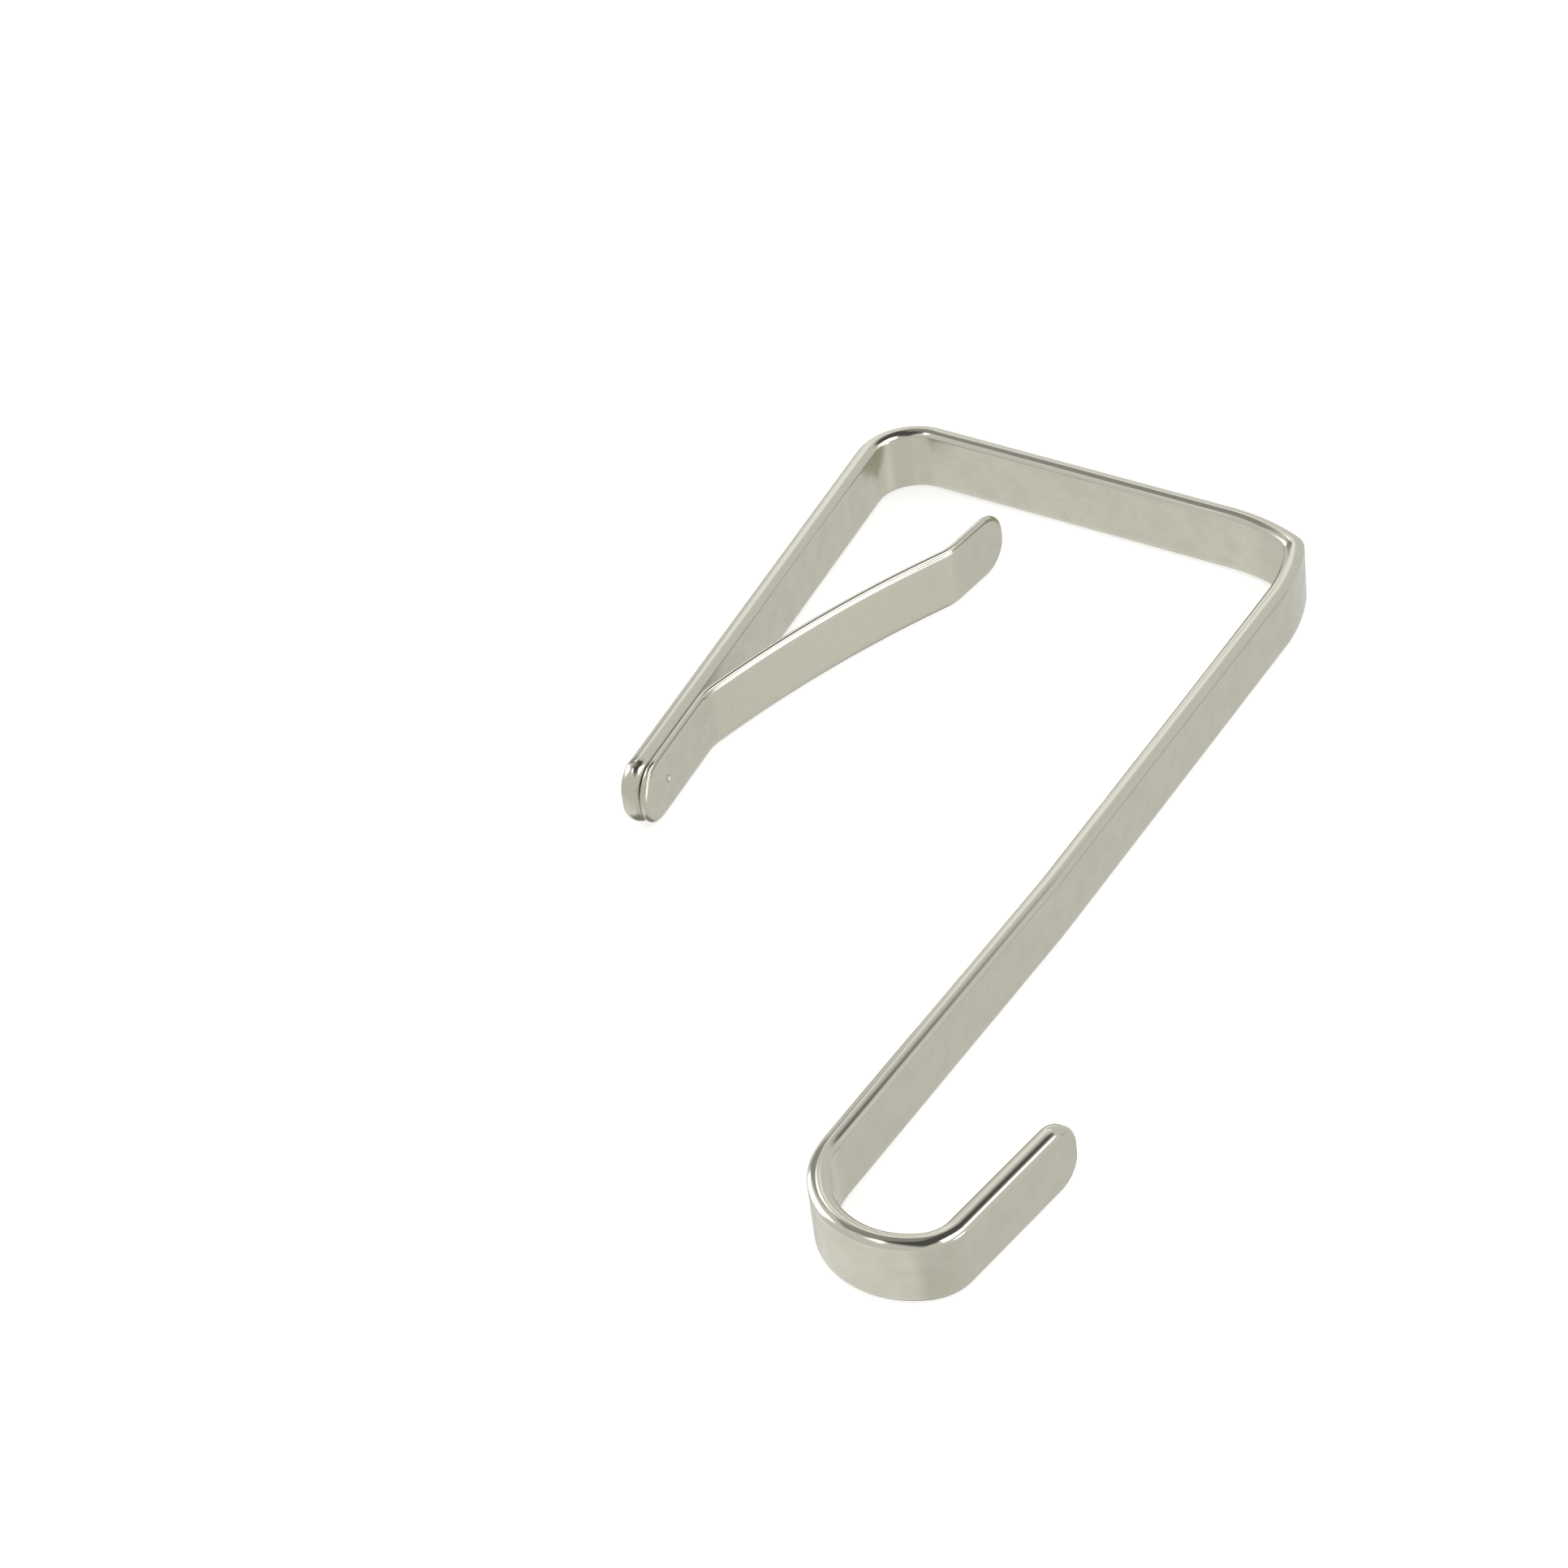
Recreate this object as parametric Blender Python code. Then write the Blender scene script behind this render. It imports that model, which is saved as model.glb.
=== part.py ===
"""Over-door hook: a bent flat bar, with a thinner spring tongue welded to its short leg.

Both pieces are strips that are bent in the XZ plane, with their width along Y. +Z is up as
the hook hangs, and +X points away from the door's front, to the side that the crook is on.
The origin is the middle of the underside of the top run, where the hook sits on the door.
Lengths are in metres and angles in radians.
"""

from dataclasses import dataclass, field
from math import ceil, cos, pi, radians, sin, sqrt

import bmesh
import bpy
from mathutils import Matrix, Vector

# Main bar. The front corner is tight in its middle and eased at both ends. The long leg is set
# a little at mid-length, which turns its foot parallel to the door. The narrow edges of both
# strips are crowned by rolling: an arc that turns by the crown angle either way, then a corner.
BAR_WIDTH = 0.0080
BAR_THICKNESS = 0.00225
BAR_EDGE_CROWN = radians(45.0)
BAR_CORNER_RADIUS = 0.00025
BAR_END_ROUND = 0.0033
TOP_RUN = 0.0389
FRONT_CORNER_INNER_RADIUS = 0.0016
FRONT_EASE_INNER_RADIUS = 0.0217
FRONT_CORNER_TURN = radians(88.7)
LONG_LEG_UPPER = 0.0517
LEG_SET_RADIUS = 0.0750
LEG_SET = radians(1.9)
LONG_LEG_LOWER = 0.0415
BACK_CORNER_INNER_RADIUS = 0.0048
BACK_CORNER_TURN = radians(96.9)
SHORT_LEG = 0.0636

# Crook at the foot of the long leg: a wide bend that runs into a tighter one, then the finger
CROOK_LEG_INNER_RADIUS = 0.0085
CROOK_LEG_TURN = radians(125.1)
CROOK_TIP_INNER_RADIUS = 0.0035
CROOK_TIP_TURN = radians(48.8)
FINGER = 0.0180

# Spring tongue, upward from its welded end
TONGUE_WIDTH = 0.0078
TONGUE_THICKNESS = 0.0010
TONGUE_EDGE_CROWN = radians(80.0)
TONGUE_CORNER_RADIUS = 0.0001
TONGUE_END_ROUND = 0.0036
TONGUE_LAP = 0.0150
KICK_RADIUS = 0.0070
KICK_TURN = radians(19.1)
LEAF_BOW = radians(13.6)
ELBOW_RADIUS = 0.0060
ELBOW_TURN = radians(20.2)
TONGUE_TIP = 0.0087
TONGUE_TOP_CLEARANCE = 0.0065
WELD_GAP = 0.0003

# Weld mark on the door side of the tongue
WELD_FROM_END = 0.0055
WELD_RADIUS = 0.00042
WELD_CROWN_RADIUS = 0.00022
WELD_HEIGHT = 0.00016

# Fineness of the facets, and the angle from which an edge between them stays sharp
CHORD_SAG = 0.00002
ROLL_STEP = radians(16.0)
END_STEPS = 6
WELD_SIDES = 16
SHARP_ANGLE = radians(50.0)

# The most that a rounding takes: of half the width at an end, and of the thickness at a corner
MOST_END_ROUND = 0.95
MOST_CORNER = 0.4

NICKEL_COLOUR = (0.58, 0.565, 0.47, 1.0)
NICKEL_ROUGHNESS = 0.34
TONGUE_ROUGHNESS = 0.30


@dataclass
class Section:
    """The section of a rolled strip, and how its ends are rounded in plan."""

    width: float
    thickness: float
    edge_crown: float
    corner_radius: float
    end_round: float


@dataclass
class Walk:
    """Straight runs and bends laid end to end, and read by the distance walked along them."""

    start: Vector
    heading: float
    legs: list = field(default_factory=list)
    length: float = 0.0

    def ahead(self, length):
        """Go straight on."""
        return self._add(length, 0.0)

    def bend(self, radius, turn):
        """Follow an arc; a positive turn is to the left of the way walked."""
        return self._add(radius * abs(turn), turn)

    def bow(self, length, turn):
        """Go on for a length while turning evenly."""
        return self._add(length, turn)

    def _add(self, length, turn):
        point, heading = self.at(self.length)
        self.legs.append((self.length, length, point, heading, turn))
        self.length += length
        return self

    def at(self, distance):
        """Return the point and the heading at a distance from the start."""
        if not self.legs:
            return self.start.copy(), self.heading
        first, length, point, heading, turn = self.legs[0]
        for leg in self.legs:
            if leg[0] <= distance:
                first, length, point, heading, turn = leg
        gone = distance - first
        if abs(turn) < 1e-9:
            return point + gone * Vector((cos(heading), sin(heading))), heading
        curve = turn / length
        now = heading + curve * gone
        side = Vector((sin(now) - sin(heading), cos(heading) - cos(now)))
        return point + side / curve, now

    def stops(self):
        """Return the distances at which a bend needs a section."""
        found = []
        for first, length, _, _, turn in self.legs:
            count = 1
            if turn:
                step = 2 * sqrt(2 * CHORD_SAG * abs(turn) / length)
                count = ceil(abs(turn) / step)
            found += [first + length * i / count for i in range(count + 1)]
        return found


@dataclass
class CentreLine:
    """A strip's middle, walked both ways from one point; the distance runs from back to front."""

    back: Walk
    front: Walk

    def at(self, distance):
        """Return the point, and the unit vector to the left of the way from back to front."""
        if distance >= 0:
            point, heading = self.front.at(distance)
        else:
            point, heading = self.back.at(-distance)
            heading += pi
        return point, Vector((-sin(heading), cos(heading)))

    def stops(self):
        """Return the distances of all sections, from back to front."""
        found = [-d for d in self.back.stops()] + self.front.stops()
        return sorted(set(round(d, 9) for d in found))


def bar_line():
    """Return the main bar's centre line, walked from the middle of the top run."""
    middle = Vector((0.0, BAR_THICKNESS / 2))
    half = BAR_THICKNESS / 2
    ease_turn = FRONT_CORNER_TURN / 4
    front = Walk(middle, 0.0).ahead(TOP_RUN / 2)
    front.bend(FRONT_EASE_INNER_RADIUS + half, -ease_turn)
    front.bend(FRONT_CORNER_INNER_RADIUS + half, 2 * ease_turn - FRONT_CORNER_TURN)
    front.bend(FRONT_EASE_INNER_RADIUS + half, -ease_turn).ahead(LONG_LEG_UPPER)
    front.bend(LEG_SET_RADIUS, -LEG_SET).ahead(LONG_LEG_LOWER)
    front.bend(CROOK_LEG_INNER_RADIUS + half, CROOK_LEG_TURN)
    front.bend(CROOK_TIP_INNER_RADIUS + half, CROOK_TIP_TURN).ahead(FINGER)
    back = Walk(middle, pi).ahead(TOP_RUN / 2)
    back.bend(BACK_CORNER_INNER_RADIUS + half, BACK_CORNER_TURN).ahead(SHORT_LEG)
    return CentreLine(back, front)


def tongue_line(bar):
    """Return the tongue's centre line, which starts beside the end of the bar's short leg."""
    end, away_from_door = bar.at(-bar.back.length)
    offset = BAR_THICKNESS / 2 + WELD_GAP + TONGUE_THICKNESS / 2
    start = end - away_from_door * offset
    heading = bar.back.at(bar.back.length)[1] + pi
    arcs = KICK_RADIUS * KICK_TURN + ELBOW_RADIUS * ELBOW_TURN
    reach = SHORT_LEG + BACK_CORNER_INNER_RADIUS - TONGUE_TOP_CLEARANCE
    leaf = reach - TONGUE_LAP - arcs - TONGUE_TIP
    up = Walk(start, heading).ahead(TONGUE_LAP).bend(KICK_RADIUS, -KICK_TURN).bow(leaf, -LEAF_BOW)
    up.bend(ELBOW_RADIUS, ELBOW_TURN).ahead(TONGUE_TIP)
    return CentreLine(Walk(start, heading + pi), up)


def plan_outline(section, stops, inset):
    """Return (distance, half width) pairs along one side of a strip with rounded ends.

    The inset is how far the outline is drawn in from the strip's own, as on a rolled edge.
    """
    first, last = stops[0], stops[-1]
    half = section.width / 2
    corner = min(section.end_round, MOST_END_ROUND * half)
    radius = corner - inset
    side = []
    for i in range(END_STEPS + 1):
        angle = pi / 2 * i / END_STEPS
        side.append((first + corner - radius * cos(angle), half - corner + radius * sin(angle)))
    middle = [(d, half - inset) for d in stops if first + corner < d < last - corner]
    far = [(first + last - d, y) for d, y in reversed(side)]
    return side + middle + far


def rolled_arc(radius, start, turn):
    """Return (height, inset) gains along an arc whose surface starts at an angle away from Y."""
    count = ceil(turn / ROLL_STEP)
    angles = [start + turn * i / count for i in range(1, count + 1)]
    return [(radius * (sin(a) - sin(start)), radius * (cos(start) - cos(a))) for a in angles]


def edge_profile(section):
    """Return (height, inset) pairs over a crowned narrow edge, from the lower face to the upper.

    The crown and its corners are arcs with a common tangent. The crown's radius is the one
    with which the corners end on the two faces.
    """
    crown = section.edge_crown
    corner_radius = min(section.corner_radius, MOST_CORNER * section.thickness)
    crown_radius = (section.thickness / 2 - corner_radius * (1 - sin(crown))) / sin(crown)
    half = [(0.0, 0.0)] + rolled_arc(crown_radius, 0.0, crown)
    top, inset = half[-1]
    half += [(top + h, inset + w) for h, w in rolled_arc(corner_radius, crown, pi / 2 - crown)]
    return [(-height, inset) for height, inset in half[:0:-1]] + half


def rolled_strip(name, line, section):
    """Make a strip along a centre line, with crowned long edges and rounded ends.

    Outlines of the strip are stacked through its thickness, drawn in near both faces, and
    joined all round. The two faces are closed by straps across the width.
    """
    bm = bmesh.new()
    loops = []
    for height, inset in edge_profile(section):
        side = plan_outline(section, line.stops(), inset)
        loop = []
        for sign, part in ((1, side), (-1, side[::-1])):
            for distance, half in part:
                point, left = line.at(distance)
                place = point + left * height
                loop.append(bm.verts.new((place.x, sign * half, place.y)))
        loops.append(loop)
    count = len(loops[0])
    for lower, upper in zip(loops, loops[1:]):
        for i in range(count):
            j = (i + 1) % count
            bm.faces.new((lower[i], lower[j], upper[j], upper[i]))
    for loop in (loops[0], loops[-1]):
        for i in range(count // 2 - 1):
            bm.faces.new((loop[i], loop[i + 1], loop[count - 2 - i], loop[count - 1 - i]))
    bmesh.ops.recalc_face_normals(bm, faces=bm.faces)
    return finish(name, bm)


def finish(name, bm):
    """Turn a bmesh into a named object, shaded smooth except at sharp edges."""
    mesh = bpy.data.meshes.new(name)
    bm.to_mesh(mesh)
    bm.free()
    mesh.shade_smooth()
    mesh.set_sharp_from_angle(angle=SHARP_ANGLE)
    thing = bpy.data.objects.new(name, mesh)
    bpy.context.scene.collection.objects.link(thing)
    return thing


def weld_mark(line):
    """Make the low round crown that the weld leaves on the tongue, sunk halfway into it."""
    point, left = line.at(WELD_FROM_END)
    sunk = TONGUE_THICKNESS / 2
    depth = sunk + WELD_HEIGHT
    outward = Vector((-left.x, 0.0, -left.y))
    centre = Vector((point.x, 0.0, point.y)) + outward * (TONGUE_THICKNESS / 2 - sunk + depth / 2)
    turn = outward.to_track_quat("Z", "Y").to_matrix().to_4x4()
    bm = bmesh.new()
    bmesh.ops.create_cone(
        bm, cap_ends=True, segments=WELD_SIDES, radius1=WELD_RADIUS, radius2=WELD_CROWN_RADIUS,
        depth=depth, matrix=Matrix.Translation(centre) @ turn,
    )
    return finish("weld_mark", bm)


def join_solids(body, added):
    """Unite one object with another by a Boolean, and remove the other."""
    union = body.modifiers.new("weld", "BOOLEAN")
    union.operation = "UNION"
    union.object = added
    graph = bpy.context.evaluated_depsgraph_get()
    mesh = bpy.data.meshes.new_from_object(body.evaluated_get(graph))
    body.modifiers.clear()
    body.data = mesh
    bpy.data.objects.remove(added)


def metal(name, roughness):
    """Make the satin nickel finish."""
    material = bpy.data.materials.new(name)
    material.use_nodes = True
    shader = material.node_tree.nodes["Principled BSDF"]
    shader.inputs["Base Color"].default_value = NICKEL_COLOUR
    shader.inputs["Metallic"].default_value = 1.0
    shader.inputs["Roughness"].default_value = roughness
    return material


def main():
    """Clear the scene and build both pieces."""
    for thing in list(bpy.data.objects):
        bpy.data.objects.remove(thing)
    bar = bar_line()
    tongue = tongue_line(bar)
    bar_section = Section(
        BAR_WIDTH, BAR_THICKNESS, BAR_EDGE_CROWN, BAR_CORNER_RADIUS, BAR_END_ROUND
    )
    tongue_section = Section(
        TONGUE_WIDTH, TONGUE_THICKNESS, TONGUE_EDGE_CROWN, TONGUE_CORNER_RADIUS, TONGUE_END_ROUND
    )
    strip = rolled_strip("hook_strip", bar, bar_section)
    spring = rolled_strip("spring_tongue", tongue, tongue_section)
    join_solids(spring, weld_mark(tongue))
    strip.data.materials.append(metal("satin_nickel", NICKEL_ROUGHNESS))
    spring.data.materials.append(metal("spring_nickel", TONGUE_ROUGHNESS))


if __name__ == "__main__":
    main()
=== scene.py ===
"""Over-door hook in satin nickel, dressed for a studio picture.

The hook is a bent flat bar with a thin spring tongue welded to its short leg. Both are strips,
so one class walks along a bent line and another skins a section over it. Lengths are in metres
and angles in radians. +Z is up as the hook hangs, +X points out from the door's front, and the
origin is the middle of the underside of the top run.
"""

import logging
from dataclasses import dataclass, replace
from enum import Enum
from math import pi, radians

import bpy
import numpy as np
from mathutils import Euler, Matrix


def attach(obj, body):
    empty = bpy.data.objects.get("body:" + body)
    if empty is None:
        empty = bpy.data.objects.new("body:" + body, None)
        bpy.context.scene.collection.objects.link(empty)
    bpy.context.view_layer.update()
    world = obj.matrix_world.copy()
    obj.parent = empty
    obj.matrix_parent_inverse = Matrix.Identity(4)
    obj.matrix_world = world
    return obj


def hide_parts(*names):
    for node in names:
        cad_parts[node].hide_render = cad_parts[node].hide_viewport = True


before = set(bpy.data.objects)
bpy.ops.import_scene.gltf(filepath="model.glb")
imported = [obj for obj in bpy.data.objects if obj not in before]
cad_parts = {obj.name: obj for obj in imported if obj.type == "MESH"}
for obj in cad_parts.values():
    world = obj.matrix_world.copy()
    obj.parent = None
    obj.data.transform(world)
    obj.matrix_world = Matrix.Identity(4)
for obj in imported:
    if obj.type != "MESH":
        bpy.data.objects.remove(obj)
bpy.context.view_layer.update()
ROOT = "root"

# The attribute that holds each vertex's place on the flat strip
STRIP_PLACE = "strip_place"

log = logging.getLogger("hook")
Array = np.ndarray


class Node(Enum):
    """The solids of the fixed frame that the dressed pieces stand for."""

    BAR = "hook_strip"
    TONGUE = "spring_tongue"


class Slot(Enum):
    """The material slots of the record."""

    BAR = "satin_nickel"
    TONGUE = "spring_nickel"


def unit(angle: Array) -> Array:
    """Give unit vectors, with the angle's cosine along X and its sine along Z.

    Args:
        angle: Angles from +X towards +Z.

    Returns:
        One row of X and Z for each angle.
    """
    return np.stack((np.cos(angle), np.sin(angle)), -1)


@dataclass(frozen=True)
class Span:
    """One run of a bent strip, straight if it has no turn and otherwise an arc.

    Args:
        length: Distance walked along the strip's middle.
        turn: Angle turned on the way, to the left if positive.
    """

    length: float
    turn: float = 0.0


def arc(radius: float, turn: float) -> Span:
    """Give the span of an arc.

    Args:
        radius: Radius of the strip's middle.
        turn: Angle turned, to the left if positive.

    Returns:
        The span, whose length is the radius times the angle.
    """
    return Span(radius * abs(turn), turn)


@dataclass(frozen=True)
class StripPath:
    """The middle line of a bent strip, in the plane of X and Z.

    Args:
        spans: The runs and bends, in the order walked.
        start: X and Z of the first point.
        heading: Direction at the start, measured from +X towards +Z.
    """

    spans: tuple[Span, ...]
    start: tuple[float, float] = (0.0, 0.0)
    heading: float = 0.0

    @property
    def length(self) -> float:
        """Give the whole distance walked, which is the sum of the spans' lengths."""
        return float(sum(span.length for span in self.spans))

    def place(self, distance: Array) -> tuple[Array, Array]:
        """Find points of the line.

        Within a span, the chord from its start is the gone distance times sin(a) / a, where a
        is half the angle turned so far, and it points along the start heading plus a. With no
        turn, that is the straight run itself, so one formula serves both kinds of span.

        Args:
            distance: Distances from the start.

        Returns:
            The points, one row of X and Z each, and the headings there.
        """
        lengths = np.array([span.length for span in self.spans])
        turns = np.array([span.turn for span in self.spans])
        first = np.concatenate(([0.0], np.cumsum(lengths)))
        headings = self.heading + np.concatenate(([0.0], np.cumsum(turns)))
        half = turns / 2
        chord = lengths * np.sinc(half / pi)
        steps = chord[:, None] * unit(headings[:-1] + half)
        points = np.array(self.start) + np.concatenate((np.zeros((1, 2)), np.cumsum(steps, 0)))

        which = np.clip(np.searchsorted(first, distance, side="right") - 1, 0, len(lengths) - 1)
        gone = np.asarray(distance) - first[which]
        half_gone = gone * (turns / lengths)[which] / 2
        reach = gone * np.sinc(half_gone / pi)
        found = points[which] + reach[:, None] * unit(headings[which] + half_gone)
        return found, headings[which] + 2 * half_gone

    def slid(self, distance: float, point: tuple[float, float], heading: float) -> "StripPath":
        """Move the whole line rigidly, to put one of its points in its place.

        Args:
            distance: Distance of the point from the start.
            point: X and Z that it has to have.
            heading: Heading that the line has to have there.

        Returns:
            The moved line.
        """
        (here,), (now,) = self.place(np.array([distance]))
        swing = heading - now
        cos, sin = np.cos(swing), np.sin(swing)
        back = np.array([[cos, -sin], [sin, cos]]) @ (np.array(self.start) - here)
        start = tuple((np.array(point) + back).tolist())
        return replace(self, start=start, heading=self.heading + float(swing))

    def stops(self, sag: float, longest: float) -> Array:
        """Choose the distances at which the strip gets a section.

        An arc of radius r that is cut into chords of angle b leaves the curve by r b^2 / 8.

        Args:
            sag: How far a chord may leave the curve.
            longest: The longest step on a straight run.

        Returns:
            Rising distances, from 0 to the whole length.
        """
        parts, gone = [np.zeros(1)], 0.0
        for span in self.spans:
            step = longest
            if span.turn:
                radius = span.length / abs(span.turn)
                step = min(step, radius * np.sqrt(8 * sag / radius))
            count = int(np.ceil(span.length / step))
            parts.append(gone + span.length * np.arange(1, count + 1) / count)
            gone += span.length
        return np.concatenate(parts)


@dataclass(frozen=True)
class RolledSection:
    """The section of a strip: two flat faces, and narrow edges that are crowned by rolling.

    Args:
        width: Width of the strip, along Y.
        thickness: Thickness of the strip.
        crown: Angle by which the crowned edge has turned away from Y at its corners.
        corner: Radius of the corners between the crown and the flat faces.
        end_round: Radius of the corners in plan, at the strip's ends.
        face_reach: How far in the outlines on the flat faces go, as a share of end_round.
    """

    width: float
    thickness: float
    crown: float
    corner: float
    end_round: float
    face_reach: float = 0.93

    def layers(self, steps: int, face_steps: int) -> tuple[Array, Array]:
        """Give the outlines that make up the skin, from the lower face to the upper one.

        With a as the angle of the surface away from Y, the crown is an arc of radius r: its
        inset from the side is r (1 - cos(a)) and its height is r sin(a). At the crown angle it
        runs into a corner arc, which ends on the flat face, where a is a right angle. The radius
        r is the one that makes the height there half the thickness.

        Args:
            steps: Outlines on the crown's half and again on the corner.
            face_steps: Further outlines drawn inwards on each flat face.

        Returns:
            The insets and the heights of the outlines.
        """
        turn, small = self.crown, self.corner
        radius = (self.thickness / 2 - small * (1 - np.sin(turn))) / np.sin(turn)
        on_crown = np.linspace(0, turn, steps + 1)
        on_corner = np.linspace(turn, pi / 2, steps + 1)[1:]
        inset = np.concatenate((
            radius * (1 - np.cos(on_crown)),
            radius * (1 - np.cos(turn)) + small * (np.cos(turn) - np.cos(on_corner)),
        ))
        height = np.concatenate((
            radius * np.sin(on_crown),
            radius * np.sin(turn) + small * (np.sin(on_corner) - np.sin(turn)),
        ))
        inner = np.linspace(inset[-1], self.face_reach * self.end_round, face_steps + 1)[1:]
        inset = np.concatenate((inset, inner))
        height = np.concatenate((height, np.full(face_steps, self.thickness / 2)))
        return (
            np.concatenate((inset[:0:-1], inset)),
            np.concatenate((-height[:0:-1], height)),
        )


@dataclass(frozen=True)
class StripSkin:
    """A closed mesh of quads skinned over a strip's middle line.

    Args:
        path: The strip's middle line.
        section: The strip's section.
        sag: How far a chord may leave a bend.
        longest: The longest step on a straight run.
        shortest: The shortest step next to the corners of the ends.
        end_steps: Steps round each corner of the ends.
        roll_steps: Outlines on half of a narrow edge's crown, and again on its corner.
        face_steps: Further outlines drawn inwards on each flat face.
    """

    path: StripPath
    section: RolledSection
    sag: float = 0.000004
    longest: float = 0.002
    shortest: float = 0.000001
    end_steps: int = 14
    roll_steps: int = 7
    face_steps: int = 5

    def flat_places(self) -> tuple[Array, Array]:
        """Lay the skin out on the unbent strip.

        Each outline runs along one side from the first end to the last and back along the
        other, so its points come in mirrored pairs. Round a corner of the ends, a point at the
        angle a is cos(a) and sin(a) times a radius from the corner's middle. The radius is the
        ends' own less the outline's inset.

        Returns:
            The places as distance along, offset across and height, with one row of points for
            each outline, and the quads as rows of point numbers.
        """
        section, length = self.section, self.path.length
        inset, height = section.layers(self.roll_steps, self.face_steps)
        half, corner = section.width / 2, section.end_round
        angle = np.linspace(0, pi / 2, self.end_steps + 1)
        radius = (corner - inset)[:, None]
        near = corner - radius * np.cos(angle)
        rise = half - corner + radius * np.sin(angle)
        stops = self.path.stops(self.sag, self.longest)
        clear = corner + self.shortest
        stops = stops[(stops > clear) & (stops < length - clear)]
        middle = np.broadcast_to(stops, (len(inset), len(stops)))
        wide = np.broadcast_to((half - inset)[:, None], middle.shape)
        along = np.concatenate((near, middle, length - near[:, ::-1]), 1)
        side = np.concatenate((rise, wide, rise[:, ::-1]), 1)
        along = np.concatenate((along, along[:, ::-1]), 1)
        across = np.concatenate((side, -side[:, ::-1]), 1)
        level = np.broadcast_to(height[:, None], along.shape)
        places = np.stack((along, across, level), -1)

        rows, count = along.shape
        numbers = np.arange(rows * count).reshape(rows, count)
        turned = np.roll(numbers, -1, 1)
        walls = np.stack((numbers[:-1], turned[:-1], turned[1:], numbers[1:]), -1)
        i = np.arange(count // 2 - 1)
        strap = np.stack((i, i + 1, count - 2 - i, count - 1 - i), -1)
        top = strap + (rows - 1) * count
        quads = np.concatenate((walls.reshape(-1, 4), strap[:, ::-1], top))
        return places, quads[:, ::-1]

    def bend(self, places: Array) -> Array:
        """Bend places of the flat strip along the middle line.

        A point is the line's point at its distance along, plus its height square to the line.
        Its offset across is its Y.

        Args:
            places: Distance along, offset across and height, in the last axis.

        Returns:
            The points in space, in the same shape.
        """
        points, heading = self.path.place(places[..., 0].ravel())
        left = unit(heading + pi / 2)
        points = points + left * places[..., 2].ravel()[:, None]
        bent = np.stack((points[:, 0], places[..., 1].ravel(), points[:, 1]), -1)
        return bent.reshape(places.shape)

    def piece(self, name: str) -> bpy.types.Object:
        """Make the skin's mesh object, with the name given."""
        places, quads = self.flat_places()
        return make_piece(name, self.bend(places), quads.tolist(), places)


def make_piece(
    name: str, points: Array, faces: list[list[int]], places: Array
) -> bpy.types.Object:
    """Make a smooth mesh object, with its places on the flat strip for the finish to read.

    Args:
        name: Name of the object.
        points: Vertices, with X, Y and Z in the last axis.
        faces: Rows of vertex numbers.
        places: Distance along, offset across and height of each vertex on the flat strip.

    Returns:
        The object, linked to the scene, at the origin.
    """
    mesh = bpy.data.meshes.new(name)
    mesh.from_pydata(points.reshape(-1, 3), [], faces)
    mesh.shade_smooth()
    place = mesh.attributes.new(STRIP_PLACE, "FLOAT_VECTOR", "POINT")
    place.data.foreach_set("vector", places.astype(np.float32).ravel())
    mesh.validate()
    thing = bpy.data.objects.new(name, mesh)
    bpy.context.scene.collection.objects.link(thing)
    return thing


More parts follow.
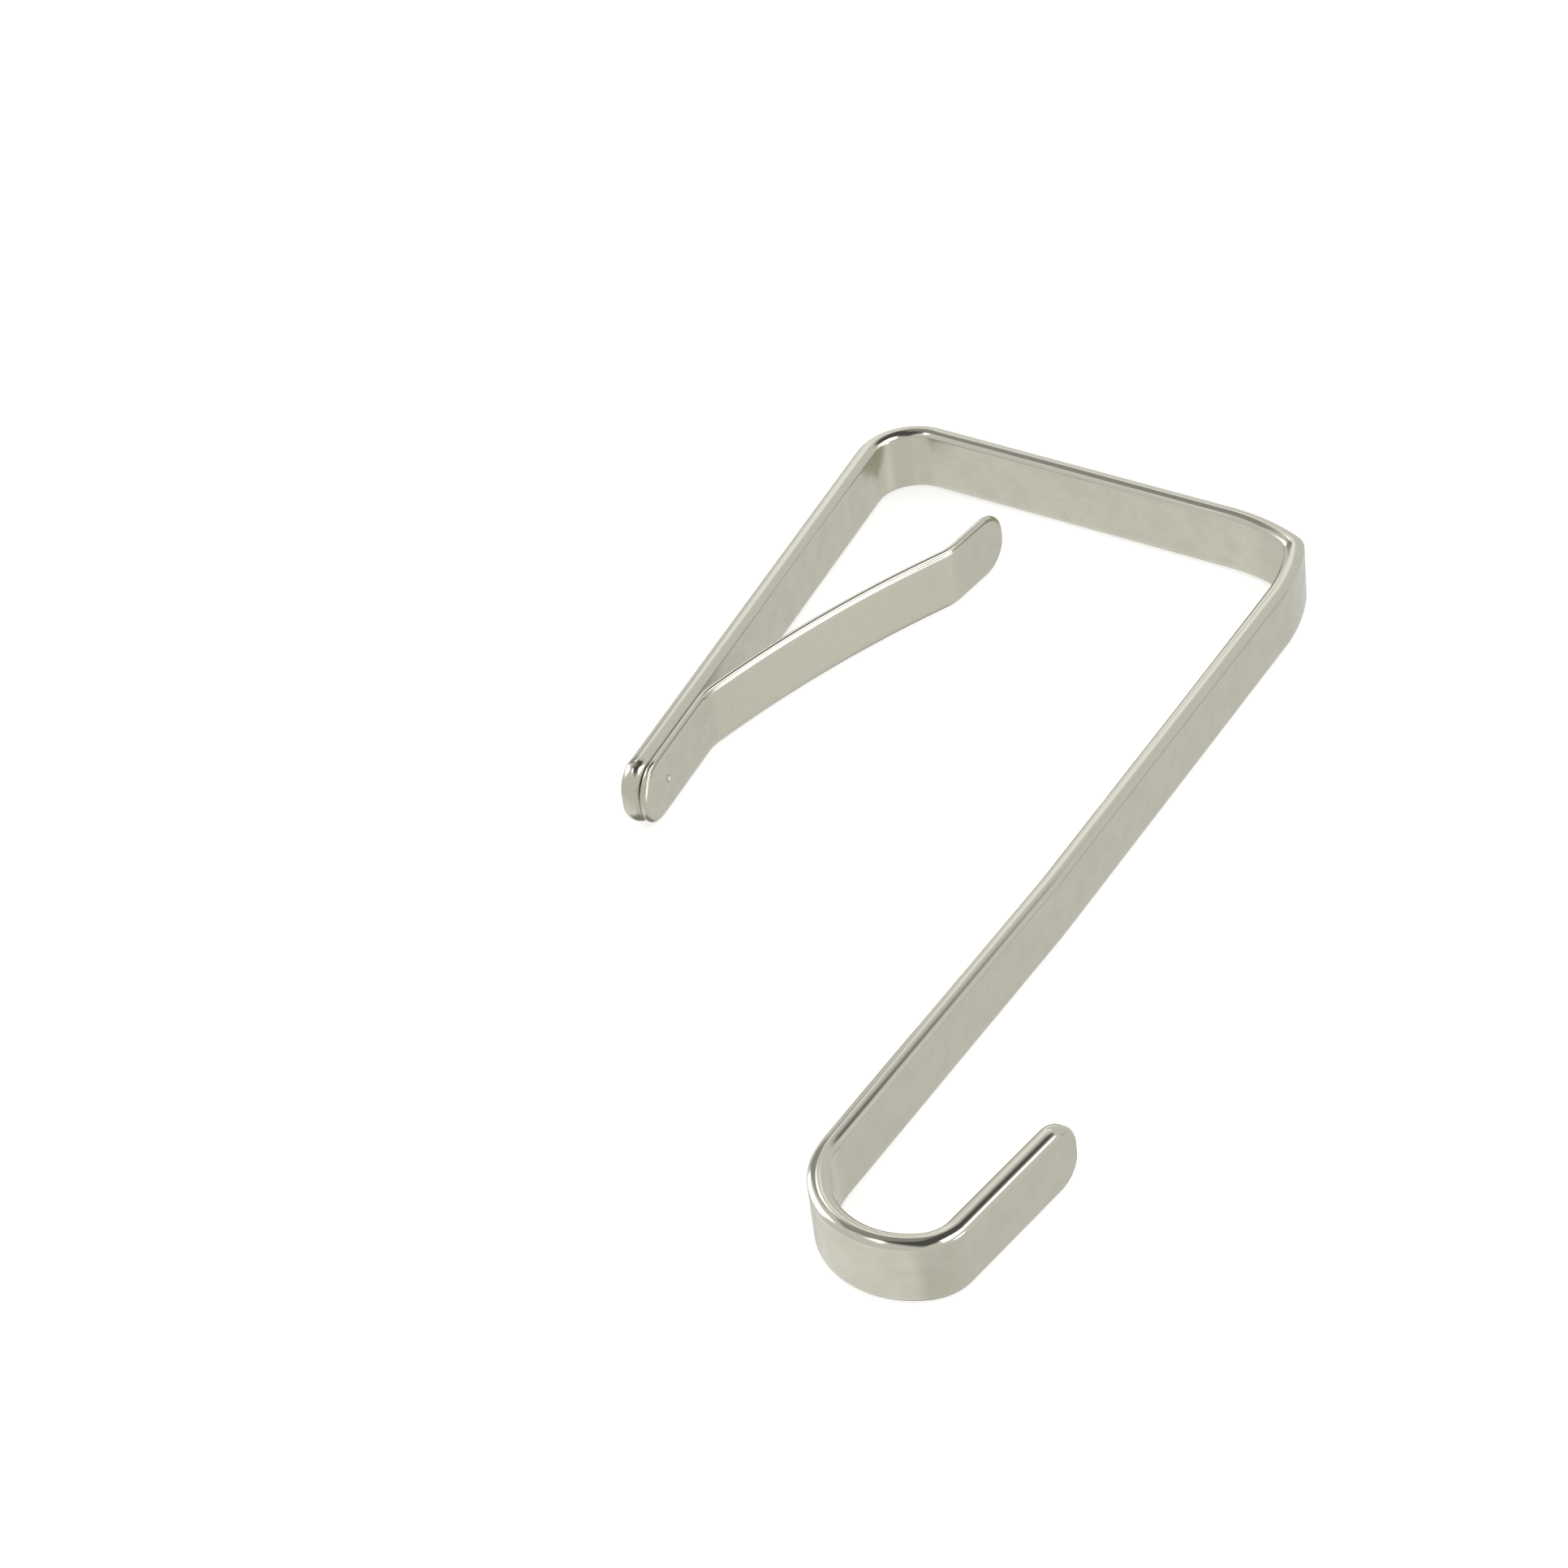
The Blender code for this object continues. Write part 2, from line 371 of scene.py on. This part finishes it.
class Nodes:
    """A short way to write node trees: values in, sockets out."""

    def __init__(self, tree: bpy.types.NodeTree) -> None:
        """Keep the node tree to build in."""
        self.tree = tree

    def add(self, kind: str, inputs: dict | None = None, **settings: object) -> bpy.types.Node:
        """Add a node.

        Args:
            kind: Its type, without the leading ShaderNode.
            inputs: Values or sockets for its inputs, by name or number.
            settings: Its other properties.

        Returns:
            The node.
        """
        node = self.tree.nodes.new("ShaderNode" + kind)
        for key, value in settings.items():
            setattr(node, key, value)
        self.join(node, inputs or {})
        return node

    def join(self, node: bpy.types.Node, inputs: dict) -> None:
        """Set or link a node's inputs.

        Args:
            node: The node.
            inputs: Values or sockets, by name or number.
        """
        for key, value in inputs.items():
            if isinstance(value, bpy.types.NodeSocket):
                self.tree.links.new(value, node.inputs[key])
            else:
                node.inputs[key].default_value = value

    def math(self, operation: str, *values: object) -> bpy.types.NodeSocket:
        """Add a Math node, its inputs given in order, and return the result."""
        return self.add("Math", dict(enumerate(values)), operation=operation).outputs[0]

    def vector(self, operation: str, one: object, other: object) -> bpy.types.Node:
        """Add a Vector Math node with two vectors as inputs, and return the node."""
        return self.add("VectorMath", {0: one, 1: other}, operation=operation)

    def ramp(
        self, value: object, low: float, high: float, to_low: object = 0.0, to_high: object = 1.0
    ) -> bpy.types.NodeSocket:
        """Pass smoothly from to_low to to_high while the value rises from low to high."""
        inputs = {0: value, 1: low, 2: high, 3: to_low, 4: to_high}
        return self.add("MapRange", inputs, interpolation_type="SMOOTHSTEP").outputs[0]

    def between(self, share: object, one: object, other: object) -> bpy.types.NodeSocket:
        """Mix two numbers, where the share says how much of the second."""
        return self.add("Mix", {0: share, 2: one, 3: other}).outputs[0]

    def blend(self, share: object, one: object, other: object) -> bpy.types.NodeSocket:
        """Mix two colours, where the share says how much of the second."""
        return self.add("Mix", {0: share, 6: one, 7: other}, data_type="RGBA").outputs[2]

    def noise(self, place: object, scale: float, detail: float = 2.0) -> bpy.types.NodeSocket:
        """Read noise that varies about 0.5, with waves per metre as its scale, at a place."""
        inputs = {"Vector": place, "Scale": scale, "Detail": detail}
        return self.add("TexNoise", inputs).outputs[0]

    def rays(self) -> tuple[bpy.types.NodeSocket, bpy.types.NodeSocket]:
        """Tell apart the rays that read a shader.

        Returns:
            Two sockets: 1 where the thing is seen, through glass too, and 1 where a mirror
            shows it.
        """
        light = self.add("LightPath").outputs
        seen = self.math("MAXIMUM", light["Is Camera Ray"], light["Is Transmission Ray"])
        return seen, light["Is Glossy Ray"]


@dataclass(frozen=True)
class SatinNickel:
    """Satin nickel plate on rolled steel strip.

    The plate is mottled where it took unevenly, it has a fine grain, and faint lines run along
    the strip from rolling. The narrow edges are smoother, because the rolls burnished them.

    Args:
        name: Name of the material.
        half_width: Half of the strip's width.
        colour: Linear colour of the plate.
        dull_colour: Linear colour of the duller patches.
        edge_colour: Linear colour of the burnished edges.
        roughness: Roughness of the faces.
        edge_roughness: Roughness of the burnished edges.
        edge_band: Width of the band beside an edge that is burnished.
        mottle_scale: Patches per metre.
        mottle_detail: Finer layers of the mottle.
        dull_range: Levels of the mottle between which the plate turns dull.
        patch_share: How much a dull patch counts for in how dull a spot is.
        speck_share: How much the grain and the lines count for in it.
        usual_share: How dull the plate is at its usual roughness.
        roughness_swing: How much rougher the plate is with dull_colour than with colour.
        grain_scale: Grains per metre.
        line_stretch: How much longer the rolling lines are than wide.
        line_share: Share of the lines in the relief, where the rest is grain.
        relief: Height of the grain and the lines.
        edge_relief: Share of that height that is left on the burnished edges.
        waviness: Height of the slow waves that the rolls leave.
    """

    name: str
    half_width: float
    colour: tuple[float, float, float] = (0.585, 0.570, 0.475)
    dull_colour: tuple[float, float, float] = (0.515, 0.498, 0.405)
    edge_colour: tuple[float, float, float] = (0.62, 0.605, 0.52)
    roughness: float = 0.27
    edge_roughness: float = 0.10
    edge_band: float = 0.0011
    mottle_scale: float = 420.0
    mottle_detail: float = 3.0
    dull_range: tuple[float, float] = (0.35, 0.68)
    patch_share: float = 0.4
    speck_share: float = 0.8
    usual_share: float = 0.35
    roughness_swing: float = 0.10
    grain_scale: float = 4500.0
    line_stretch: float = 14.0
    line_share: float = 0.6
    relief: float = 0.0000020
    edge_relief: float = 0.15
    waviness: float = 0.0000020

    def material(self) -> bpy.types.Material:
        """Build the node material.

        Noise varies about 0.5, so the grain and the lines together vary about 1. That is taken
        off, and they make a spot duller or brighter alike.

        Returns:
            The material.
        """
        made = bpy.data.materials.new(self.name)
        made.use_nodes = True
        nodes = Nodes(made.node_tree)
        place = nodes.add("Attribute", attribute_name=STRIP_PLACE).outputs["Vector"]
        across = nodes.add("SeparateXYZ", {0: place}).outputs["Y"]
        burnished = nodes.ramp(
            nodes.math("ABSOLUTE", across), self.half_width - self.edge_band, self.half_width
        )
        drawn = nodes.vector("MULTIPLY", place, (1 / self.line_stretch, 1.0, 1.0)).outputs[0]
        mottle = nodes.noise(place, self.mottle_scale, self.mottle_detail)
        grain = nodes.noise(place, self.grain_scale)
        lines = nodes.noise(drawn, self.grain_scale)

        dull = nodes.ramp(mottle, *self.dull_range)
        both = nodes.math("ADD", grain, lines)
        speck = nodes.math("MULTIPLY_ADD", both, self.speck_share, -self.speck_share)
        share = nodes.math("MULTIPLY_ADD", dull, self.patch_share, speck)
        colour = nodes.blend(share, (*self.colour, 1.0), (*self.dull_colour, 1.0))
        colour = nodes.blend(burnished, colour, (*self.edge_colour, 1.0))
        bright = self.roughness - self.usual_share * self.roughness_swing
        rough = nodes.math("MULTIPLY_ADD", share, self.roughness_swing, bright)
        rough = nodes.between(burnished, rough, self.edge_roughness)

        height = nodes.between(self.line_share, grain, lines)
        fine = nodes.between(burnished, self.relief, self.edge_relief * self.relief)
        rise = nodes.math("MULTIPLY", height, fine)
        rise = nodes.math("MULTIPLY_ADD", mottle, self.waviness, rise)
        bump = nodes.add("Bump", {"Height": rise, "Distance": 1.0}).outputs[0]
        nodes.join(made.node_tree.nodes["Principled BSDF"], {
            "Base Color": colour, "Metallic": 1.0, "Roughness": rough, "Normal": bump,
        })
        return made


@dataclass(frozen=True)
class Bar:
    """The main bar: short leg, top run, long leg with its slight set, crook and finger.

    Radii are those of the inner side of each bend, apart from the set's, which is the middle's.

    Args:
        section: The bar's section.
        top_run: Straight run over the door.
        front_radius: Radius of the tight part of the front corner.
        front_ease: Radius of the eased curve on either side of it.
        front_turn: Angle of the whole front corner.
        upper_leg: Straight upper part of the long leg.
        set_radius: Radius of the slight set in the long leg.
        leg_set: Angle of the set, back towards the door.
        lower_leg: Straight lower part of the long leg.
        back_radius: Radius of the back corner.
        back_turn: Angle of the back corner.
        short_leg: Straight length of the short leg.
        crook_radius: Radius of the crook's main curve.
        crook_turn: Angle of the crook's main curve.
        tip_radius: Radius of the tighter curve that ends the crook.
        tip_turn: Angle of that curve.
        finger: Straight length of the finger.
    """

    section: RolledSection = RolledSection(
        width=0.0080, thickness=0.00225, crown=radians(45.0), corner=0.00025, end_round=0.0033
    )
    top_run: float = 0.0389
    front_radius: float = 0.0016
    front_ease: float = 0.0217
    front_turn: float = radians(88.7)
    upper_leg: float = 0.0517
    set_radius: float = 0.0750
    leg_set: float = radians(1.9)
    lower_leg: float = 0.0415
    back_radius: float = 0.0048
    back_turn: float = radians(96.9)
    short_leg: float = 0.0636
    crook_radius: float = 0.0085
    crook_turn: float = radians(125.1)
    tip_radius: float = 0.0035
    tip_turn: float = radians(48.8)
    finger: float = 0.0180

    def path(self) -> StripPath:
        """Walk the bar from its welded end to the finger's tip.

        Returns:
            The middle line, put so that the top run's middle is above the origin.
        """
        half = self.section.thickness / 2
        ease = arc(self.front_ease + half, -self.front_turn / 4)
        spans = (
            Span(self.short_leg),
            arc(self.back_radius + half, -self.back_turn),
            Span(self.top_run),
            ease,
            arc(self.front_radius + half, -self.front_turn - 2 * ease.turn),
            ease,
            Span(self.upper_leg),
            arc(self.set_radius, -self.leg_set),
            Span(self.lower_leg),
            arc(self.crook_radius + half, self.crook_turn),
            arc(self.tip_radius + half, self.tip_turn),
            Span(self.finger),
        )
        to_middle = spans[0].length + spans[1].length + self.top_run / 2
        return StripPath(spans).slid(to_middle, (0.0, half), 0.0)

    def build(self) -> bpy.types.Object:
        """Build the bar's mesh object."""
        return StripSkin(self.path(), self.section).piece("bar")

    def dress(self, piece: bpy.types.Object, finish: SatinNickel) -> None:
        """Give the bar its finish and its place in the frame.

        Args:
            piece: The bar's mesh object.
            finish: The finish.
        """
        piece.data.materials.append(finish.material())
        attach(piece, ROOT)
        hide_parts(Node.BAR.value)


@dataclass(frozen=True)
class Tongue:
    """The spring tongue, from its welded end up to its free tip.

    Args:
        section: The tongue's section.
        lap: Straight length that lies along the short leg.
        kick_radius: Radius of the bend away from the short leg.
        kick_turn: Angle of that bend.
        leaf_bow: Angle that the leaf turns along its whole length.
        elbow_radius: Radius of the bend back, near the tip.
        elbow_turn: Angle of that bend.
        tip: Straight length past the elbow.
        top_clearance: Distance along the strip that it stops short of the top run.
        weld_gap: Width of the parting line between the tongue and the bar.
    """

    section: RolledSection = RolledSection(
        width=0.0078, thickness=0.0010, crown=radians(55.0), corner=0.0008, end_round=0.0036
    )
    lap: float = 0.0150
    kick_radius: float = 0.0070
    kick_turn: float = radians(19.1)
    leaf_bow: float = radians(13.6)
    elbow_radius: float = 0.0060
    elbow_turn: float = radians(20.2)
    tip: float = 0.0087
    top_clearance: float = 0.0065
    weld_gap: float = 0.00005

    def path(self, bar: Bar) -> StripPath:
        """Walk the tongue from its welded end to its tip.

        Args:
            bar: The bar that it is welded to.

        Returns:
            The middle line, beside the end of the bar's short leg.
        """
        arcs = self.kick_radius * self.kick_turn + self.elbow_radius * self.elbow_turn
        reach = bar.short_leg + bar.back_radius - self.top_clearance
        leaf = reach - self.lap - arcs - self.tip
        spans = (
            Span(self.lap),
            arc(self.kick_radius, -self.kick_turn),
            Span(leaf, -self.leaf_bow),
            arc(self.elbow_radius, self.elbow_turn),
            Span(self.tip),
        )
        (end,), (heading,) = bar.path().place(np.zeros(1))
        offset = bar.section.thickness / 2 + self.weld_gap + self.section.thickness / 2
        start = end - offset * unit(heading + pi / 2)
        return StripPath(spans, tuple(start.tolist()), float(heading))

    def build(self, bar: Bar) -> bpy.types.Object:
        """Build the tongue's mesh object, beside the bar that it is welded to."""
        return StripSkin(self.path(bar), self.section).piece("tongue")

    def dress(self, piece: bpy.types.Object, finish: SatinNickel) -> None:
        """Give the tongue its finish and its place in the frame.

        Args:
            piece: The tongue's mesh object.
            finish: The finish.
        """
        piece.data.materials.append(finish.material())
        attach(piece, ROOT)
        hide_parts(Node.TONGUE.value)


@dataclass(frozen=True)
class WeldMark:
    """The low round crown that the spot weld leaves on the tongue's door side.

    Args:
        from_end: Distance of its middle from the tongue's welded end.
        radius: Its radius.
        height: How far it stands out.
        sunk: How deep its foot is let into the tongue.
        rings: Rings from the middle to the rim.
        sides: Points in a ring.
    """

    from_end: float = 0.0055
    radius: float = 0.00044
    height: float = 0.00026
    sunk: float = 0.0001
    rings: int = 8
    sides: int = 40

    def build(self, tongue: Tongue, bar: Bar) -> bpy.types.Object:
        """Build the mark.

        The crown is half an ellipse: at an angle a from its axis, it is at the share sin(a) of
        the radius and cos(a) of the height. The last ring is let into the tongue and closed, so
        the mark is a body of its own.

        Args:
            tongue: The tongue that it is on.
            bar: The bar that the tongue is welded to.

        Returns:
            The mesh object.
        """
        tilt = np.linspace(0, pi / 2, self.rings + 1)[1:]
        share = np.append(np.sin(tilt), 1.0)
        rise = np.append(self.height * np.cos(tilt), -self.sunk)
        angle = np.arange(self.sides) * 2 * pi / self.sides
        along = self.from_end + self.radius * share[:, None] * np.cos(angle)
        across = self.radius * share[:, None] * np.sin(angle)
        face = -tongue.section.thickness / 2
        level = np.broadcast_to(face - rise[:, None], along.shape)
        rows = np.stack((along, across, level), -1).reshape(-1, 3)
        poles = [(self.from_end, 0.0, face - out) for out in (self.height, -self.sunk)]
        places = np.concatenate((rows, poles))

        numbers = np.arange(len(rows)).reshape(-1, self.sides)
        turned = np.roll(numbers, -1, 1)
        walls = np.stack((numbers[:-1], turned[:-1], turned[1:], numbers[1:]), -1).reshape(-1, 4)
        top = np.stack((np.full(self.sides, len(rows)), turned[0], numbers[0]), -1)
        foot = np.stack((np.full(self.sides, len(rows) + 1), numbers[-1], turned[-1]), -1)
        faces = walls.tolist() + top.tolist() + foot.tolist()
        skin = StripSkin(tongue.path(bar), tongue.section)
        return make_piece("weld_mark", skin.bend(places), faces, places)

    def dress(self, piece: bpy.types.Object, finish: SatinNickel) -> None:
        """Give the mark its finish.

        Args:
            piece: The mark's mesh object.
            finish: The finish.
        """
        piece.data.materials.append(finish.material())
        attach(piece, ROOT)


@dataclass(frozen=True)
class Table:
    """The directions of the table that the hook lies on, on a long edge, as it is seen.

    The table's up is -Y of the hook, and its other two axes lie in the plane of X and Z.

    Args:
        right: Direction to the right in the picture.
        far: Direction away from the camera.
        up: Direction up from the table.
    """

    right: tuple[float, float, float] = (0.7969, 0.0, 0.6041)
    far: tuple[float, float, float] = (-0.6041, 0.0, 0.7969)
    up: tuple[float, float, float] = (0.0, -1.0, 0.0)

    def way(self, azimuth: Array, elevation: Array) -> Array:
        """Give directions in the hook's frame.

        The shares of right, far and up are sin(azimuth) cos(elevation), cos(azimuth)
        cos(elevation) and sin(elevation).

        Args:
            azimuth: Degrees from the far side, to the right if positive.
            elevation: Degrees above the table.

        Returns:
            One unit vector in each row.
        """
        turn, rise = np.radians(azimuth), np.radians(elevation)
        level = np.cos(rise)
        shares = np.stack((np.sin(turn) * level, np.cos(turn) * level, np.sin(rise)), -1)
        return shares @ np.array((self.right, self.far, self.up))


@dataclass(frozen=True)
class Panel:
    """A part of the surroundings with a level of its own: a softbox, or a gap between them.

    Args:
        name: Name of the panel.
        level: Its brightness, where 1 is plain white.
        corners: Azimuth and elevation of its corners, in degrees.
        blur: Width of its soft edge, in degrees.
    """

    name: str
    level: float
    corners: tuple[tuple[float, float], ...]
    blur: float

    def walls(self, table: Table) -> Array:
        """Give the planes through the hook and each side of the panel.

        The cross product of two corner directions stands across the plane through both. It is
        turned to point towards the panel's middle.

        Args:
            table: The table, from which the angles are measured.

        Returns:
            Unit vectors, one for each side, that point inwards.
        """
        ways = table.way(*np.array(self.corners).T)
        across = np.cross(ways, np.roll(ways, -1, 0))
        across /= np.linalg.norm(across, axis=1, keepdims=True)
        return across * np.sign(across @ ways.sum(0))[:, None]


@dataclass(frozen=True)
class Studio:
    """The camera, the white table and the softboxes round it.

    The softboxes stand to the left, to the right and overhead, with dark gaps between them,
    which is what draws the lines along the hook's edges. All levels are against plain white.
    The camera was fitted to the hook's outline in the photograph, and the panels to the lines
    on its edges.

    Args:
        camera_place: Place of the camera.
        camera_turn: Its turns about X, Y and Z, in degrees.
        lens: Its focal length, in millimetres.
        sensor: Width of its sensor, in millimetres.
        nearest: Nearest distance that it shows.
        table: The table's directions.
        table_gap: Gap between the hook's edge and the table.
        table_reach: Half the side of the table.
        table_colour: Grey of the table.
        table_lift: Level that the table glows with in the picture, to come out plain white.
        plain: Level of the surroundings as a light.
        wall: Level of the surroundings in a mirror, above the table.
        ground: Level of the surroundings in a mirror, below the table's top.
        horizon: Half the width of the passage between the two, in degrees.
        panels: The softboxes, glows and gaps that a mirror shows, and a dark patch below that is
            painted shade for the table's shade under the hook. Each covers those before it.
    """

    camera_place: tuple[float, float, float] = (0.223456, -0.308108, -0.358496)
    camera_turn: tuple[float, float, float] = (136.59461, -31.9041, 7.24445)
    lens: float = 102.2876
    sensor: float = 36.0
    nearest: float = 0.01
    table: Table = Table()
    table_gap: float = 0.0001
    table_reach: float = 3.0
    table_colour: float = 0.85
    table_lift: float = 0.52
    plain: float = 0.88
    wall: float = 0.80
    ground: float = 0.82
    horizon: float = 0.5
    panels: tuple[Panel, ...] = (
        Panel("ground_left", 1.05, (
            (-28, -34), (-102, -29), (-174, -32), (-175, -62), (-28, -62),
        ), 8.0),
        Panel("ground_right", 0.76, ((24, -42), (76, -42), (81, -70), (20, -70)), 6.0),
        # painted shade: a dark patch straight below, standing in for the table's shade under the
        # hook where a mirror shows it
        Panel("under", 0.30, ((0, -50), (90, -50), (180, -50), (-90, -50)), 9.0),
        Panel("far_ground", 1.55, ((-27, -5), (-26, -32), (28, -31), (28, -5)), 6.0),
        Panel("far_glow", 1.22, ((-15, 26), (-15, -4), (33, 2), (28, 8)), 8.0),
        Panel("centre_high", 1.18, ((-9, 40), (-12, 18), (20, 38), (23, 47)), 2.3),
        Panel("roof_gap", 0.10, (
            (-63, 61), (-44, 53), (-4, 47), (61, 43), (83, 49), (186, 46),
        ), 9.0),
        Panel("roof_soft", 0.36, (
            (-65, 53), (-45, 54), (-1, 44), (10, 56), (2, 80), (-56, 72),
        ), 1.5),
        Panel("left_gap", 0.38, ((-37, 50), (-35, 1), (-21, 7), (-5, 33), (-8, 47)), 4.0),
        Panel("right_gap", 0.40, (
            (43, 55), (79, 54), (86, 31), (93, -28), (81, -28), (69, 34),
        ), 4.5),
        Panel("roof_left", 2.2, ((-122, 58), (-112, 68), (-85, 74), (-58, 71), (-82, 62)), 1.5),
        Panel("roof_right", 3.0, (
            (85, 35), (80, 45), (96, 66), (133, 70), (143, 45), (106, 43),
        ), 1.2),
        Panel("left_box", 3.0, (
            (-71, 45), (-71, 16), (-38, -2), (-34, 15), (-49, 37), (-59, 45),
        ), 1.8),
        Panel("left_strip", 1.8, ((-28, 45), (-9, 52), (-2, 44), (-14, 38)), 1.5),
        Panel("right_box", 3.5, ((108, 23), (104, -28), (130, -28), (129, 22)), 4.0),
    )

    def build_camera(self) -> None:
        """Put the camera where the photograph was taken from."""
        data = bpy.data.cameras.new("camera")
        data.lens = self.lens
        data.sensor_width = self.sensor
        data.clip_start = self.nearest
        camera = bpy.data.objects.new("camera", data)
        camera.location = self.camera_place
        camera.rotation_euler = Euler([radians(a) for a in self.camera_turn])
        bpy.context.scene.collection.objects.link(camera)
        bpy.context.scene.camera = camera

    def build_table(self, half_width: float) -> None:
        """Lay the white table under the hook's long edge.

        It is white to the camera and keeps the hook's soft shadow. It isn't seen from behind, and
        mirror rays pass through it to the ground of the surroundings.

        Args:
            half_width: Distance from the hook's middle plane to the edge that it lies on.
        """
        level, reach = half_width + self.table_gap, self.table_reach
        corners = [
            (-reach, level, -reach), (reach, level, -reach),
            (reach, level, reach), (-reach, level, reach),
        ]
        mesh = bpy.data.meshes.new("table")
        mesh.from_pydata(corners, [], [(0, 1, 2, 3)])
        table = bpy.data.objects.new("table", mesh)
        bpy.context.scene.collection.objects.link(table)

        made = bpy.data.materials.new("white_table")
        made.use_nodes = True
        nodes = Nodes(made.node_tree)
        seen, mirrored = nodes.rays()
        glow = nodes.math("MULTIPLY", seen, self.table_lift)
        paint = nodes.add("BsdfDiffuse", {"Color": (*[self.table_colour] * 3, 1.0)})
        shine = nodes.add("Emission", {"Strength": glow})
        both = nodes.add("AddShader", {0: paint.outputs[0], 1: shine.outputs[0]})
        behind = nodes.add("NewGeometry").outputs["Backfacing"]
        unseen = nodes.math("MAXIMUM", behind, mirrored)
        clear = nodes.add("BsdfTransparent")
        mixed = nodes.add("MixShader", {0: unseen, 1: both.outputs[0], 2: clear.outputs[0]})
        nodes.join(made.node_tree.nodes["Material Output"], {"Surface": mixed.outputs[0]})
        mesh.materials.append(made)

    def build_world(self) -> None:
        """Surround the hook with the studio, and show plain white where nothing else is seen.

        The panels are shown to mirror rays alone. The rays that light the table get the plain
        level from all sides.
        """
        world = bpy.data.worlds.new("studio")
        bpy.context.scene.world = world
        world.use_nodes = True
        nodes = Nodes(world.node_tree)
        way = nodes.add("TexCoord").outputs["Generated"]
        rise = nodes.vector("DOT_PRODUCT", way, self.table.up).outputs["Value"]
        brim = radians(self.horizon)
        level = nodes.ramp(rise, -brim, brim, self.ground, self.wall)
        for panel in self.panels:
            inside: object = 1.0
            for wall in panel.walls(self.table).tolist():
                depth = nodes.vector("DOT_PRODUCT", way, wall).outputs["Value"]
                inside = nodes.math("MINIMUM", inside, depth)
            share = nodes.ramp(inside, 0.0, radians(panel.blur))
            share.node.label = panel.name
            level = nodes.between(share, level, panel.level)
        seen, mirrored = nodes.rays()
        plain = nodes.add("Background", {"Strength": nodes.between(seen, self.plain, 1.0)})
        boxes = nodes.add("Background", {"Strength": level})
        for shown in (plain, boxes):
            shown.inputs["Color"].default_value = (1.0, 1.0, 1.0, 1.0)
        mixed = nodes.add("MixShader", {0: mirrored, 1: plain.outputs[0], 2: boxes.outputs[0]})
        nodes.join(world.node_tree.nodes["World Output"], {"Surface": mixed.outputs[0]})

    def build(self, half_width: float) -> None:
        """Build the whole studio.

        Args:
            half_width: Distance from the hook's middle plane to the edge that it lies on.
        """
        self.build_camera()
        self.build_table(half_width)
        self.build_world()
        bpy.context.scene.view_settings.view_transform = "Standard"


def report(piece: bpy.types.Object) -> None:
    """Log a piece's name and how fine it is.

    Args:
        piece: The finished piece.
    """
    triangles = sum(len(face.vertices) - 2 for face in piece.data.polygons)
    log.info("%s: %d triangles, %.1f x %.1f x %.1f mm", piece.name, triangles,
             *(1000 * side for side in piece.dimensions))


def main() -> None:
    """Build the hook and the studio, in order."""
    logging.basicConfig(level=logging.INFO, format="%(message)s")
    bar, tongue, mark = Bar(), Tongue(), WeldMark()
    bar_finish = SatinNickel(Slot.BAR.value, bar.section.width / 2)
    spring_finish = SatinNickel(Slot.TONGUE.value, tongue.section.width / 2)
    mark_finish = replace(
        spring_finish,
        name="burnished_weld",
        colour=spring_finish.edge_colour,
        roughness=spring_finish.edge_roughness,
    )

    bar_piece = bar.build()
    tongue_piece = tongue.build(bar)
    mark_piece = mark.build(tongue, bar)
    bar.dress(bar_piece, bar_finish)
    tongue.dress(tongue_piece, spring_finish)
    mark.dress(mark_piece, mark_finish)
    for piece in (bar_piece, tongue_piece, mark_piece):
        report(piece)

    Studio().build(bar.section.width / 2)


if __name__ == "__main__":
    main()
